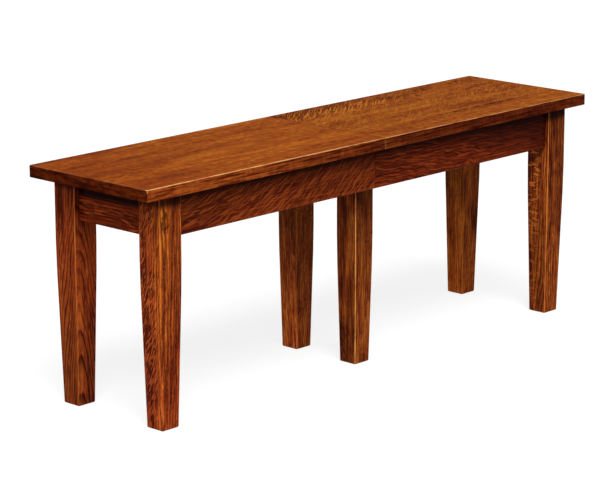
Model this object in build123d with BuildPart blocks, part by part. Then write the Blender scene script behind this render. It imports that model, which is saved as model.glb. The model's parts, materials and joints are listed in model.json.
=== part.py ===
"""Six-legged mission extension bench, closed.

A backless bench whose top and long aprons are cut through at the middle. Each half stands on two
corner legs. The middle legs carry a centre frame with two dovetailed rails, and the halves slide out
from it on wooden runners. Racks in the runners mesh with pinions in the rails, so that both halves
move out alike and the middle legs stay at the middle.

Millimetres. X runs along the bench, to its right end. Y runs to its back. Z is up, and the origin is
on the floor at the centre of the closed bench.
"""
from build123d import *
import math
import os

os.makedirs("parts", exist_ok=True)

# Overall sizes
bench_length = 1246
bench_depth = 312
seat_height = 457

# Top
top_thickness = 23
end_overhang = 44
side_overhang = 17
top_edge_radius = 2
top_lower_radius = 1
split_gap = 0.6
split_ease = 0.5
right_front_board_width = 74
right_middle_board_width = 117
left_front_board_width = 180

# Corner legs
leg_width = 54
foot_width = 41
knee_height = 282
knee_bend = 60
leg_edge_radius = 2
foot_ease = 1.5

# Middle legs
middle_leg_width = 50.4
middle_foot_width = 40.4
middle_knee_height = 228
middle_leg_inset = 52.6

# Aprons and end rails
apron_height = 79.5
apron_thickness = 19
apron_reveal = 8
end_rail_reveal = 12.5
apron_gap = 1.2
apron_ease = 1
tenon_thickness = 9
tenon_gap = 2.5
tenon_shoulder = 12

# Corner braces, on the diagonal across each inside corner
brace_height = 45
brace_drop = 6
brace_thickness = 20
brace_leg_gap = 1
brace_screw_inset = 7

# Extension: how far each half slides out
half_travel = 305

# Slides: centre rails fixed to the centre frame, runners fixed to the halves
rail_width = 16
rail_length = 700
rail_top_gap = 1.5
runner_width = 15.4
runner_height = 37
runner_top_gap = 1
runner_brace_gap = 10
slide_gap = 1
rail_side_gap = 0.8
tongue_drop = 13
tongue_depth = 5.6
tongue_neck = 7
tongue_tip = 11
tongue_clearance = 0.4

# Racks and pinions
gear_module = 2
pinion_teeth = 12
pressure_angle = 20
addendum_share = 0.8
dedendum_share = 1
tooth_backlash = 0.5
flank_points = 4
rack_height = 6
rack_back = 2.5
rack_rise = 7
rack_end_margin = 16
pinion_side_gap = 0.4
pinion_slot_margin = 1
axle_radius = 3
axle_clearance = 0.05

# Stop pegs under the inner ends of the runners
stop_radius = 5
stop_drop = 9
stop_bite = 12
stop_clearance = 0.3
stop_end_margin = 3

# Centre frame
bearer_thickness = 20
bearer_recess = 3
bearer_end_gap = 7.6
leg_bolt_spacing = 24

# Alignment dowels across the split of the top
dowel_radius = 4.75
dowel_reach = 12
dowel_clearance = 0.25
dowel_tip = 2
dowel_spacing = 240

# Wood screws
screw_radius = 2.25
screw_head_radius = 4
screw_head_height = 2.4
screw_bore_clearance = 0.2
screw_point = 4
top_bite = 14
top_screw_grip = 22
runner_screw_grip = 18
apron_screw_ends = 60
apron_screw_count = 3
rail_screw_spacing = 50
runner_screw_ends = 45
runner_screw_count = 4
bearer_bite = 24
brace_screw_bite = 12
small_screw_radius = 1.5
small_screw_head_radius = 3
small_screw_head_height = 1.5
small_screw_point = 2
small_screw_bite = 13

# Bolts, washers and nuts
bolt_radius = 4
bolt_head_radius = 9
bolt_head_height = 4.5
bolt_end = 4
washer_radius = 8.5
washer_thickness = 1.6
nut_flats = 13
nut_thickness = 6.5
hanger_clearance = 3.5

# Swing latch under the middle of the top
latch_drop = 10
latch_base_length = 12
latch_base_width = 34
latch_keeper_radius = 5
latch_keeper_inset = 7.5
latch_arm_width = 10
latch_arm_thickness = 4
latch_air = 0.6
latch_swing_clearance = 2
latch_catch_radius = 2.25
latch_catch_gap = 0.4
latch_catch_play = 1
latch_pivot_radius = 2.5
latch_pivot_clearance = 0.05
latch_pivot_bite = 12
latch_pivot_head_radius = 4.5
latch_pivot_head_height = 2.5
latch_knob_radius = 6
latch_knob_height = 9
latch_knob_ease = 1.5
latch_screw_spacing = 22

# Cuts run past the faces that they open by this much
overrun = 5

# Places worked out from the sizes above
half_length = bench_length / 2
half_depth = bench_depth / 2
top_underside = seat_height - top_thickness
leg_x = half_length - end_overhang - leg_width / 2
leg_y = half_depth - side_overhang - leg_width / 2
leg_inner_x = leg_x - leg_width / 2
leg_inner_y = leg_y - leg_width / 2
apron_bottom = top_underside - apron_height
apron_inner_y = half_depth - side_overhang - apron_reveal - apron_thickness
apron_y = apron_inner_y + apron_thickness / 2
end_rail_inner_x = half_length - end_overhang - end_rail_reveal - apron_thickness
end_rail_x = end_rail_inner_x + apron_thickness / 2
apron_tenon = end_rail_x - tenon_thickness / 2 - tenon_gap - leg_inner_x
end_rail_tenon = apron_y - tenon_thickness / 2 - tenon_gap - leg_inner_y
tenon_end_reach = math.sqrt(2) * (min(apron_tenon, end_rail_tenon) + tenon_gap)
hanger_depth = tenon_end_reach - bolt_radius - hanger_clearance
middle_leg_y = half_depth - middle_leg_inset - middle_leg_width / 2

runner_bottom = top_underside - runner_height
bearer_top = runner_bottom - slide_gap
bearer_bottom = apron_bottom + bearer_recess
bearer_x = (middle_leg_width + bearer_thickness) / 2
bearer_face_x = middle_leg_width / 2 + bearer_thickness
bolt_level = (bearer_top + bearer_bottom) / 2
rail_top = top_underside - rail_top_gap
tongue_level = top_underside - tongue_drop
rack_level = runner_bottom + rack_rise
runner_face = rail_width / 2 + rail_side_gap
runner_centre = runner_face + runner_width / 2
groove_floor = rail_width / 2 + tongue_depth + tongue_clearance
runner_screw_offset = (groove_floor + runner_face + runner_width) / 2
stop_x = -(bearer_face_x + stop_clearance + half_travel + stop_radius)
runner_inner_end = stop_x - stop_radius - stop_end_margin

pitch_radius = gear_module * pinion_teeth / 2
addendum = gear_module * addendum_share
dedendum = gear_module * dedendum_share
tooth_pitch = math.pi * gear_module
tooth_width = (tooth_pitch - tooth_backlash) / 2
slot_half_length = pitch_radius + addendum + pinion_slot_margin
rack_floor = pitch_radius + dedendum + rack_back

brace_level = top_underside - brace_drop - brace_height / 2
corner_reach = (end_rail_inner_x - leg_inner_x) + (apron_inner_y - leg_inner_y)
brace_near = corner_reach + brace_leg_gap * math.sqrt(2)
brace_far = brace_near + brace_thickness * math.sqrt(2)
runner_outer_end = end_rail_inner_x - brace_far - runner_brace_gap

latch_reach = middle_leg_y - runner_face - runner_width - latch_arm_width / 2 - latch_swing_clearance
latch_catch_inset = latch_keeper_inset + latch_keeper_radius + latch_catch_gap + latch_catch_radius
latch_pivot_inset = latch_reach - latch_catch_inset

sides = {"front": -1, "back": 1}
ends = {"left": -1, "right": 1}


def keep(piece, name):
    """Label a finished piece and write it as a file of its own."""
    piece.part.label = name
    export_step(piece.part, f"parts/{name}.step")


def spread(low, high, count):
    """Even places from low to high."""
    return [low + (high - low) * step / (count - 1) for step in range(count)]


def facing(point, direction):
    """The plane at a point that looks along a direction."""
    return Plane(origin=point, z_dir=direction)


# Screws, bolts, washers and nuts, each drawn along Z with the seat of its head or face at zero
def wood_screw(length, radius, head_radius, head_height, point):
    """A wood screw that points down: flat-topped head above zero, pointed shank below."""
    with BuildPart() as screw:
        with BuildSketch(Plane.XZ):
            with BuildLine():
                Polyline(
                    (0, -length),
                    (radius, point - length),
                    (radius, 0),
                    (head_radius, 0),
                    (head_radius, head_height),
                    (0, head_height),
                    close=True,
                )
            make_face()
        revolve(axis=Axis.Z)
    return screw.part


def top_screw(grip):
    return wood_screw(grip + top_bite, screw_radius, screw_head_radius, screw_head_height, screw_point)


def carriage_bolt(length):
    """A bolt that points down, with a low domed head above zero."""
    dome_radius = (bolt_head_radius**2 + bolt_head_height**2) / (2 * bolt_head_height)
    with BuildPart() as bolt:
        with BuildSketch(Plane.XZ):
            with BuildLine():
                Polyline(
                    (0, bolt_head_height),
                    (0, -length),
                    (bolt_radius, -length),
                    (bolt_radius, 0),
                    (bolt_head_radius, 0),
                )
                RadiusArc((bolt_head_radius, 0), (0, bolt_head_height), -dome_radius)
            make_face()
        revolve(axis=Axis.Z)
    return bolt.part


def washer():
    with BuildPart() as ring:
        with BuildSketch():
            Circle(washer_radius)
            Circle(bolt_radius, mode=Mode.SUBTRACT)
        extrude(amount=washer_thickness)
    return ring.part


def hexagon_nut():
    with BuildPart() as nut:
        with BuildSketch():
            RegularPolygon(nut_flats / 2, 6, major_radius=False)
            Circle(bolt_radius, mode=Mode.SUBTRACT)
        extrude(amount=nut_thickness)
    return nut.part


def group(fastener, planes):
    """Copies of one fastener as one group of separate solids."""
    with BuildPart() as copies:
        with Locations(*planes):
            add(fastener)
    return copies


# Places of the fasteners, for the half whose end has this sign
def apron_screw_planes(end):
    """Up through the aprons and the end rail into the top, heads down."""
    level = top_underside - top_screw_grip
    places = []
    for side in sides.values():
        for along in spread(apron_screw_ends, leg_inner_x - apron_screw_ends, apron_screw_count):
            places.append((end * along, side * apron_y, level))
        places.append((end * end_rail_x, side * rail_screw_spacing / 2, level))
    return [facing(place, (0, 0, -1)) for place in places]


def runner_screw_planes(end):
    """Up through the runners into the top, heads down."""
    level = top_underside - runner_screw_grip
    places = []
    for side in sides.values():
        across = side * middle_leg_y + end * runner_screw_offset
        for along in spread(runner_screw_ends, runner_outer_end - runner_screw_ends, runner_screw_count):
            places.append((end * along, across, level))
    return [facing(place, (0, 0, -1)) for place in places]


def brace_screw_planes(end):
    """Through the slanted back of each brace, square into the apron and into the end rail."""
    inset = brace_near + brace_screw_inset
    planes = []
    for side in sides.values():
        seat = brace_far - inset - screw_head_height * 2
        along = (end * (end_rail_inner_x - inset), side * (apron_inner_y - seat), brace_level)
        across = (end * (end_rail_inner_x - seat), side * (apron_inner_y - inset), brace_level)
        planes += [facing(along, (0, -side, 0)), facing(across, (-end, 0, 0))]
    return planes


def brace_bolt_plane(end, side, reach):
    """On the diagonal through the inner corner of the leg, this far along it from the leg's corner."""
    step = reach / math.sqrt(2)
    point = (end * (leg_inner_x - step), side * (leg_inner_y - step), brace_level)
    return facing(point, (-end, -side, 0))


def half_planes(end, reach):
    return [brace_bolt_plane(end, side, reach) for side in sides.values()]


brace_back_reach = (brace_far - corner_reach) / math.sqrt(2)
hanger_length = hanger_depth + brace_back_reach + washer_thickness + nut_thickness + bolt_end
brace_screw_grip = brace_far - brace_near - brace_screw_inset - screw_head_height * 2


# Top: a slab for each half, then its glued boards
def dowel_planes(end):
    """In the split face of this half, looking out of it."""
    level = top_underside + top_thickness / 2
    places = [(end * split_gap / 2, side * dowel_spacing / 2, level) for side in sides.values()]
    return [facing(place, (-end, 0, 0)) for place in places]


def latch_base_places():
    across = latch_screw_spacing / 2
    return [(-latch_pivot_inset, -across), (-latch_pivot_inset, across)]


def top_slab(end):
    """Half of the top, with eased edges, the fixing holes from below and the dowel holes."""
    length = half_length - split_gap / 2
    middle = end * (half_length + split_gap / 2) / 2
    under = [facing((plane.origin.X, plane.origin.Y, top_underside), (0, 0, -1))
             for plane in apron_screw_planes(end) + runner_screw_planes(end)]
    with BuildPart() as slab:
        with Locations((middle, 0, top_underside)):
            Box(length, bench_depth, top_thickness, align=(Align.CENTER, Align.CENTER, Align.MIN))
        outer = slab.edges().filter_by(Axis.Z).sort_by(Axis.X)
        fillet(outer[-2:] if end > 0 else outer[:2], top_edge_radius)
        upper = slab.faces().sort_by(Axis.Z)[-1].edges()
        fillet(upper.filter_by(lambda edge: abs(edge.center().X) > split_gap), top_edge_radius)
        lower = slab.faces().sort_by(Axis.Z)[0].edges()
        fillet(lower.filter_by(lambda edge: abs(edge.center().X) > split_gap), top_lower_radius)
        split_face = slab.faces().filter_by(Axis.X).sort_by(Axis.X)[0 if end > 0 else -1]
        chamfer(split_face.edges(), split_ease)
        with Locations(*under):
            Hole(screw_radius, top_bite)
        if end > 0:
            with Locations(*dowel_planes(end)):
                Hole(dowel_radius + dowel_clearance, dowel_reach + dowel_clearance)
            with Locations(facing((latch_keeper_inset, 0, top_underside), (0, 0, -1))):
                Hole(small_screw_radius, small_screw_bite)
        else:
            with Locations(*dowel_planes(end)):
                Hole(dowel_radius, dowel_reach)
            with Locations(facing((-latch_pivot_inset, 0, top_underside), (0, 0, -1))):
                Hole(latch_pivot_radius, latch_pivot_bite)
            with Locations(*[facing((x, y, top_underside), (0, 0, -1)) for x, y in latch_base_places()]):
                Hole(small_screw_radius, small_screw_bite)
    return slab


def top_board(slab, low, high):
    """The glued board of a slab between two joint lines."""
    with BuildPart() as board:
        add(slab.part)
        with Locations((0, (low + high) / 2, top_underside + top_thickness / 2)):
            Box(bench_length + overrun, high - low, top_thickness + overrun, mode=Mode.INTERSECT)
    return board


left_slab = top_slab(ends["left"])
left_joint = left_front_board_width - half_depth
keep(top_board(left_slab, -half_depth, left_joint), "left_top_front_board")
keep(top_board(left_slab, left_joint, half_depth), "left_top_back_board")

right_slab = top_slab(ends["right"])
right_front_joint = right_front_board_width - half_depth
right_back_joint = right_front_joint + right_middle_board_width
keep(top_board(right_slab, -half_depth, right_front_joint), "right_top_front_board")
keep(top_board(right_slab, right_front_joint, right_back_joint), "right_top_middle_board")
keep(top_board(right_slab, right_back_joint, half_depth), "right_top_back_board")


# Legs
def tapered_leg(x, y, top, width, foot, knee):
    """A square leg whose four faces bend gently into a taper below the knee."""
    slope = (width - foot) / knee
    sections = [
        (0, foot - 2 * foot_ease),
        (foot_ease, foot + slope * foot_ease),
        (knee - knee_bend / 2, width - slope * knee_bend / 2),
        (knee + knee_bend / 2, width),
        (top, width),
    ]
    with BuildPart() as leg:
        for level, across in sections:
            with BuildSketch(Plane.XY.offset(level)):
                with Locations((x, y)):
                    RectangleRounded(across, across, leg_edge_radius)
        loft(ruled=True)
    return leg


tenon_height = apron_height - 2 * tenon_shoulder
apron_level = top_underside - apron_height / 2
for end_name, end in ends.items():
    for side_name, side in sides.items():
        leg = tapered_leg(end * leg_x, side * leg_y, top_underside, leg_width, foot_width, knee_height)
        with leg:
            with Locations((end * (leg_inner_x + apron_tenon / 2), side * apron_y, apron_level)):
                Box(apron_tenon, tenon_thickness, tenon_height, mode=Mode.SUBTRACT)
            with Locations((end * end_rail_x, side * (leg_inner_y + end_rail_tenon / 2), apron_level)):
                Box(tenon_thickness, end_rail_tenon, tenon_height, mode=Mode.SUBTRACT)
            with Locations(brace_bolt_plane(end, side, 0)):
                Hole(bolt_radius, hanger_depth)
        keep(leg, f"{end_name}_{side_name}_leg")

bolt_offsets = (-leg_bolt_spacing / 2, leg_bolt_spacing / 2)
for side_name, side in sides.items():
    leg = tapered_leg(0, side * middle_leg_y, bearer_top, middle_leg_width, middle_foot_width,
                      middle_knee_height)
    with leg:
        for offset in bolt_offsets:
            with Locations(facing((bearer_face_x, side * middle_leg_y + offset, bolt_level), (1, 0, 0))):
                Hole(bolt_radius)
    keep(leg, f"middle_{side_name}_leg")


# Aprons and end rails
def screw_bores(planes, mouth_level):
    """Holes for screws that enter from below and have their heads sunk in deep bores."""
    for plane in planes:
        seat = plane.origin
        with Locations(facing((seat.X, seat.Y, mouth_level), (0, 0, -1))):
            CounterBoreHole(screw_radius, screw_head_radius + screw_bore_clearance, seat.Z - mouth_level,
                            top_underside - mouth_level + overrun)


def near(planes, x, y):
    """The planes whose origins stand on the line through this x or this y, whichever is given."""
    return [plane for plane in planes
            if (x is None or math.isclose(plane.origin.X, x))
            and (y is None or math.isclose(plane.origin.Y, y))]


for end_name, end in ends.items():
    for side_name, side in sides.items():
        length = leg_inner_x - apron_gap / 2
        with BuildPart() as apron:
            with Locations((end * (apron_gap / 2 + length / 2), side * apron_y, apron_level)):
                Box(length, apron_thickness, apron_height)
            chamfer(apron.faces().sort_by(Axis.Z)[0].edges().filter_by(Axis.X), apron_ease)
            with Locations((end * (leg_inner_x + apron_tenon / 2), side * apron_y, apron_level)):
                Box(apron_tenon, tenon_thickness, tenon_height)
            screw_bores(near(apron_screw_planes(end), None, side * apron_y), apron_bottom)
            with Locations(facing((end * (end_rail_inner_x - brace_near - brace_screw_inset),
                                   side * apron_inner_y, brace_level), (0, -side, 0))):
                Hole(screw_radius, brace_screw_bite)
        keep(apron, f"{end_name}_{side_name}_apron")

    with BuildPart() as end_rail:
        with Locations((end * end_rail_x, 0, apron_level)):
            Box(apron_thickness, 2 * leg_inner_y, apron_height)
            chamfer(end_rail.faces().sort_by(Axis.Z)[0].edges().filter_by(Axis.Y), apron_ease)
            Box(tenon_thickness, 2 * (leg_inner_y + end_rail_tenon), tenon_height)
        screw_bores(near(apron_screw_planes(end), end * end_rail_x, None), apron_bottom)
        across = apron_inner_y - brace_near - brace_screw_inset
        for side in sides.values():
            with Locations(facing((end * end_rail_inner_x, side * across, brace_level), (-end, 0, 0))):
                Hole(screw_radius, brace_screw_bite)
    keep(end_rail, f"{end_name}_end_rail")


# Corner braces: a board on the diagonal, mitred to the apron and the end rail
for end_name, end in ends.items():
    for side_name, side in sides.items():
        corner_x = end * end_rail_inner_x
        corner_y = side * apron_inner_y
        with BuildPart() as brace:
            with BuildSketch(Plane.XY.offset(brace_level)):
                with BuildLine():
                    Polyline(
                        (corner_x - end * brace_near, corner_y),
                        (corner_x - end * brace_far, corner_y),
                        (corner_x, corner_y - side * brace_far),
                        (corner_x, corner_y - side * brace_near),
                        close=True,
                    )
                make_face()
            extrude(amount=brace_height / 2, both=True)
            with Locations(brace_bolt_plane(end, side, brace_back_reach)):
                Hole(bolt_radius)
            for plane in brace_screw_planes(end):
                if plane.origin.Y * side > 0:
                    with Locations(plane):
                        CounterBoreHole(screw_radius, screw_head_radius + screw_bore_clearance, 0)
        keep(brace, f"{end_name}_{side_name}_brace")

    brace_screw_length = brace_screw_grip + brace_screw_bite
    brace_screw = wood_screw(brace_screw_length, screw_radius, screw_head_radius, screw_head_height,
                             screw_point)
    keep(group(brace_screw, brace_screw_planes(end)), f"{end_name}_brace_screws")

    with BuildPart() as hanger_bolts:
        with Locations(*half_planes(end, -hanger_depth)):
            Cylinder(bolt_radius, hanger_length, align=(Align.CENTER, Align.CENTER, Align.MIN))
    keep(hanger_bolts, f"{end_name}_hanger_bolts")
    nut_planes = half_planes(end, brace_back_reach + washer_thickness)
    keep(group(washer(), half_planes(end, brace_back_reach)), f"{end_name}_brace_washers")
    keep(group(hexagon_nut(), nut_planes), f"{end_name}_brace_nuts")
    keep(group(top_screw(top_screw_grip), apron_screw_planes(end)), f"{end_name}_apron_screws")
    keep(group(top_screw(runner_screw_grip), runner_screw_planes(end)), f"{end_name}_runner_screws")


# Slides
def tongue_outline(rail_y, side, clearance):
    """Dovetail on one side of a centre rail, drawn in its cross-section: narrow neck, wide tip."""
    root = rail_y + side * (rail_width / 2 - overrun)
    start = rail_y + side * rail_width / 2
    tip = rail_y + side * (rail_width / 2 + tongue_depth + clearance)
    neck = tongue_neck / 2 + clearance
    wide = tongue_tip / 2 + clearance
    return [
        (root, tongue_level - neck),
        (start, tongue_level - neck),
        (tip, tongue_level - wide),
        (tip, tongue_level + wide),
        (start, tongue_level + neck),
        (root, tongue_level + neck),
    ]


for side_name, side in sides.items():
    rail_y = side * middle_leg_y
    with BuildPart() as rail:
        with BuildSketch(Plane.YZ):
            with Locations((rail_y, (rail_top + bearer_top) / 2)):
                Rectangle(rail_width, rail_top - bearer_top)
            for tongue_side in sides.values():
                with BuildLine():
                    Polyline(*tongue_outline(rail_y, tongue_side, 0), close=True)
                make_face()
        extrude(amount=rail_length / 2, both=True)
        with Locations((0, rail_y, rack_level)):
            Box(2 * slot_half_length, rail_width + overrun, rack_height, mode=Mode.SUBTRACT)
        with Locations((0, rail_y, rail_top)):
            Hole(axle_radius)
        with Locations((-bearer_x, rail_y, rail_top), (bearer_x, rail_y, rail_top)):
            CounterBoreHole(screw_radius, screw_head_radius, screw_head_height)
    keep(rail, f"centre_{side_name}_rail")


def rack_outline(end):
    """Rack seen from above: a back strip with straight-sided teeth that face the pinion.

    The space at the middle takes the pinion's tooth there. With an odd count the left rack meets a
    space instead, and its teeth stand half a pitch along.
    """
    phase = tooth_pitch / 2 if end < 0 and pinion_teeth % 2 else 0
    slope = math.tan(math.radians(pressure_angle))
    tip_half = tooth_width / 2 - addendum * slope
    root_half = tooth_width / 2 + dedendum * slope
    first = -half_travel - rack_end_margin
    last = rack_end_margin
    points = [(last, rack_floor), (first, rack_floor), (first, pitch_radius + dedendum)]
    count = math.floor((last - first) / tooth_pitch)
    for step in range(-count, count):
        centre = (step + 1 / 2) * tooth_pitch + phase
        if centre - root_half > first and centre + root_half < last:
            points += [
                (centre - root_half, pitch_radius + dedendum),
                (centre - tip_half, pitch_radius - addendum),
                (centre + tip_half, pitch_radius - addendum),
                (centre + root_half, pitch_radius + dedendum),
            ]
    points.append((last, pitch_radius + dedendum))
    return [(end * x, end * y) for x, y in points]


def pinion_outline():
    """Involute teeth, the first one along +Y, on radial roots below the base circle."""
    base_radius = pitch_radius * math.cos(math.radians(pressure_angle))
    tip_radius = pitch_radius + addendum
    root_radius = pitch_radius - dedendum
    pressure = math.radians(pressure_angle)
    pitch_half = tooth_width / (2 * pitch_radius) + math.tan(pressure) - pressure
    radii = [root_radius] + spread(base_radius, tip_radius, flank_points)
    points = []
    for tooth in range(pinion_teeth):
        middle = math.pi / 2 + tooth * 2 * math.pi / pinion_teeth
        flank = []
        for radius in radii:
            angle = math.acos(min(1, base_radius / radius))
            flank.append((radius, pitch_half - (math.tan(angle) - angle)))
        for radius, half in flank:
            points.append((radius * math.cos(middle - half), radius * math.sin(middle - half)))
        for radius, half in reversed(flank):
            points.append((radius * math.cos(middle + half), radius * math.sin(middle + half)))
    return points


for end_name, end in ends.items():
    with BuildPart() as racks:
        for side in sides.values():
            with BuildSketch(Plane.XY.offset(rack_level)):
                with BuildLine():
                    Polyline(*[(x, side * middle_leg_y + y) for x, y in rack_outline(end)], close=True)
                make_face()
            extrude(amount=rack_height / 2, both=True)
    keep(racks, f"{end_name}_racks")

    for side_name, side in sides.items():
        rail_y = side * middle_leg_y
        runner_y = rail_y + end * runner_centre
        with BuildPart() as runner:
            with Locations((end * (runner_inner_end + runner_outer_end) / 2, runner_y, runner_bottom)):
                Box(runner_outer_end - runner_inner_end, runner_width, runner_height - runner_top_gap,
                    align=(Align.CENTER, Align.CENTER, Align.MIN))
            with Locations((end * (runner_outer_end + split_gap) / 2, runner_y, top_underside)):
                Box(runner_outer_end - split_gap, runner_width, runner_top_gap,
                    align=(Align.CENTER, Align.CENTER, Align.MAX))
            with BuildSketch(Plane.YZ):
                with BuildLine():
                    Polyline(*tongue_outline(rail_y, end, tongue_clearance), close=True)
                make_face()
            extrude(amount=bench_length, both=True, mode=Mode.SUBTRACT)
            with Locations((end * -half_travel / 2, rail_y + end * rack_floor / 2, rack_level)):
                Box(half_travel + 2 * rack_end_margin, rack_floor, rack_height, mode=Mode.SUBTRACT)
            screw_line = rail_y + end * runner_screw_offset
            screw_bores(near(runner_screw_planes(end), None, screw_line), runner_bottom)
            with Locations(facing((end * stop_x, runner_y, runner_bottom), (0, 0, -1))):
                Hole(stop_radius, stop_bite)
        keep(runner, f"{end_name}_{side_name}_runner")

    with BuildPart() as stop_pegs:
        for side in sides.values():
            peg_y = side * middle_leg_y + end * runner_centre
            with Locations((end * stop_x, peg_y, runner_bottom - stop_drop)):
                Cylinder(stop_radius, stop_drop + stop_bite, align=(Align.CENTER, Align.CENTER, Align.MIN))
    keep(stop_pegs, f"{end_name}_stop_pegs")


# Centre frame: bearers on both sides of the middle legs, bolted through
rail_screw_seat = rail_top - screw_head_height
rail_screw_planes = [facing((end * bearer_x, side * middle_leg_y, rail_screw_seat), (0, 0, 1))
                     for side in sides.values() for end in ends.values()]
bolt_places = [(side * middle_leg_y + offset, bolt_level)
               for side in sides.values() for offset in bolt_offsets]
for end_name, end in ends.items():
    with BuildPart() as bearer:
        with Locations((end * bearer_x, 0, (bearer_top + bearer_bottom) / 2)):
            Box(bearer_thickness, 2 * (apron_inner_y - bearer_end_gap), bearer_top - bearer_bottom)
        with Locations(*[facing((end * bearer_face_x, y, z), (end, 0, 0)) for y, z in bolt_places]):
            Hole(bolt_radius)
        with Locations(*[(end * bearer_x, side * middle_leg_y, bearer_top) for side in sides.values()]):
            Hole(screw_radius, bearer_bite)
    keep(bearer, f"{end_name}_bearer")

rail_screw_length = rail_screw_seat - bearer_top + bearer_bite
rail_screw = wood_screw(rail_screw_length, screw_radius, screw_head_radius, screw_head_height,
                        screw_point)
keep(group(rail_screw, rail_screw_planes), "rail_screws")

leg_bolt_length = 2 * bearer_face_x + washer_thickness + nut_thickness + bolt_end
bolt_heads = [facing((bearer_face_x, y, z), (1, 0, 0)) for y, z in bolt_places]
keep(group(carriage_bolt(leg_bolt_length), bolt_heads), "leg_bolts")
washer_planes = [facing((-bearer_face_x, y, z), (-1, 0, 0)) for y, z in bolt_places]
keep(group(washer(), washer_planes), "leg_bolt_washers")
nut_x = -bearer_face_x - washer_thickness
keep(group(hexagon_nut(), [facing((nut_x, y, z), (-1, 0, 0)) for y, z in bolt_places]), "leg_bolt_nuts")


# Pinions and their axle pins
for side_name, side in sides.items():
    pinion_thickness = rack_height - 2 * pinion_side_gap
    with BuildPart() as pinion:
        with BuildSketch(Plane.XY.offset(rack_level)):
            with BuildLine():
                Polyline(*[(x, side * middle_leg_y + y) for x, y in pinion_outline()], close=True)
            make_face()
            with Locations((0, side * middle_leg_y)):
                Circle(axle_radius + axle_clearance, mode=Mode.SUBTRACT)
        extrude(amount=pinion_thickness / 2, both=True)
    keep(pinion, f"{side_name}_pinion")

with BuildPart() as axles:
    with Locations((0, -middle_leg_y, bearer_top), (0, middle_leg_y, bearer_top)):
        Cylinder(axle_radius, rail_top - bearer_top, align=(Align.CENTER, Align.CENTER, Align.MIN))
keep(axles, "pinion_axles")


# Alignment dowels, glued in the left half, with cone tips that enter the right half
with BuildPart() as dowels:
    with Locations(*dowel_planes(-1)):
        Cylinder(dowel_radius, 2 * dowel_reach)
    chamfer(dowels.faces().filter_by(Axis.X).group_by(Axis.X)[-1].edges(), dowel_tip)
keep(dowels, "alignment_dowels")


# Swing latch: open, its arm points to the front; a quarter turn swings it under the keeper stud
latch_pivot_x = -latch_pivot_inset
arm_top = top_underside - latch_drop - latch_air
arm_bottom = arm_top - latch_arm_thickness
catch_y = -latch_reach

with BuildPart() as latch_base:
    with Locations((latch_pivot_x, 0, top_underside)):
        Box(latch_base_length, latch_base_width, latch_drop, align=(Align.CENTER, Align.CENTER, Align.MAX))
    with Locations(facing((latch_pivot_x, 0, top_underside - latch_drop), (0, 0, -1))):
        Hole(latch_pivot_radius)
    for x, y in latch_base_places():
        with Locations(facing((x, y, top_underside - latch_drop), (0, 0, -1))):
            CounterBoreHole(small_screw_radius, small_screw_head_radius, small_screw_head_height)
keep(latch_base, "latch_base")

base_screw_length = latch_drop - small_screw_head_height + small_screw_bite
base_screw = wood_screw(base_screw_length, small_screw_radius, small_screw_head_radius,
                        small_screw_head_height, small_screw_point)
base_screw_level = top_underside - latch_drop + small_screw_head_height
base_screw_planes = [facing((x, y, base_screw_level), (0, 0, -1)) for x, y in latch_base_places()]
keep(group(base_screw, base_screw_planes), "latch_base_screws")

pivot_length = top_underside + latch_pivot_bite - (arm_bottom - latch_air)
with BuildPart() as latch_pivot:
    with Locations((latch_pivot_x, 0, arm_bottom - latch_air)):
        Cylinder(latch_pivot_radius, pivot_length, align=(Align.CENTER, Align.CENTER, Align.MIN))
        Cylinder(latch_pivot_head_radius, latch_pivot_head_height,
                 align=(Align.CENTER, Align.CENTER, Align.MAX))
keep(latch_pivot, "latch_pivot_screw")

with BuildPart() as latch_arm:
    with BuildSketch(Plane.XY.offset(arm_bottom)):
        with Locations((latch_pivot_x, catch_y / 2)):
            SlotCenterToCenter(latch_reach, latch_arm_width, rotation=90)
        with Locations((latch_pivot_x, 0)):
            Circle(latch_pivot_radius + latch_pivot_clearance, mode=Mode.SUBTRACT)
        with Locations((latch_pivot_x, catch_y)):
            Circle(latch_catch_radius, mode=Mode.SUBTRACT)
    extrude(amount=latch_arm_thickness)
keep(latch_arm, "latch_arm")

with BuildPart() as latch_knob:
    with Locations((latch_pivot_x, catch_y, arm_bottom)):
        Cylinder(latch_knob_radius, latch_knob_height, align=(Align.CENTER, Align.CENTER, Align.MAX))
        fillet(latch_knob.faces().sort_by(Axis.Z)[0].edges(), latch_knob_ease)
        Cylinder(latch_catch_radius, top_underside - latch_catch_play - arm_bottom,
                 align=(Align.CENTER, Align.CENTER, Align.MIN))
keep(latch_knob, "latch_knob")

with BuildPart() as latch_keeper:
    with Locations((latch_keeper_inset, 0, top_underside)):
        Cylinder(latch_keeper_radius, latch_drop, align=(Align.CENTER, Align.CENTER, Align.MAX))
    with Locations(facing((latch_keeper_inset, 0, top_underside - latch_drop), (0, 0, -1))):
        CounterBoreHole(small_screw_radius, small_screw_head_radius, small_screw_head_height)
keep(latch_keeper, "latch_keeper_stud")
keeper_screw_plane = facing((latch_keeper_inset, 0, base_screw_level), (0, 0, -1))
keep(group(base_screw, [keeper_screw_plane]), "latch_keeper_screw")
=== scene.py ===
"""Six-legged mission extension bench in stained white oak, seen from its front left.

The boards keep the shapes of the frame and get their finish here: oak worked out as a solid in
each board's own directions, so that its rings, pores and flakes meet at the edges. Screws, bolts,
nuts and the latch knob are surfaces worked out with arrays. Lengths are metres.
"""

import json
import math

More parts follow.
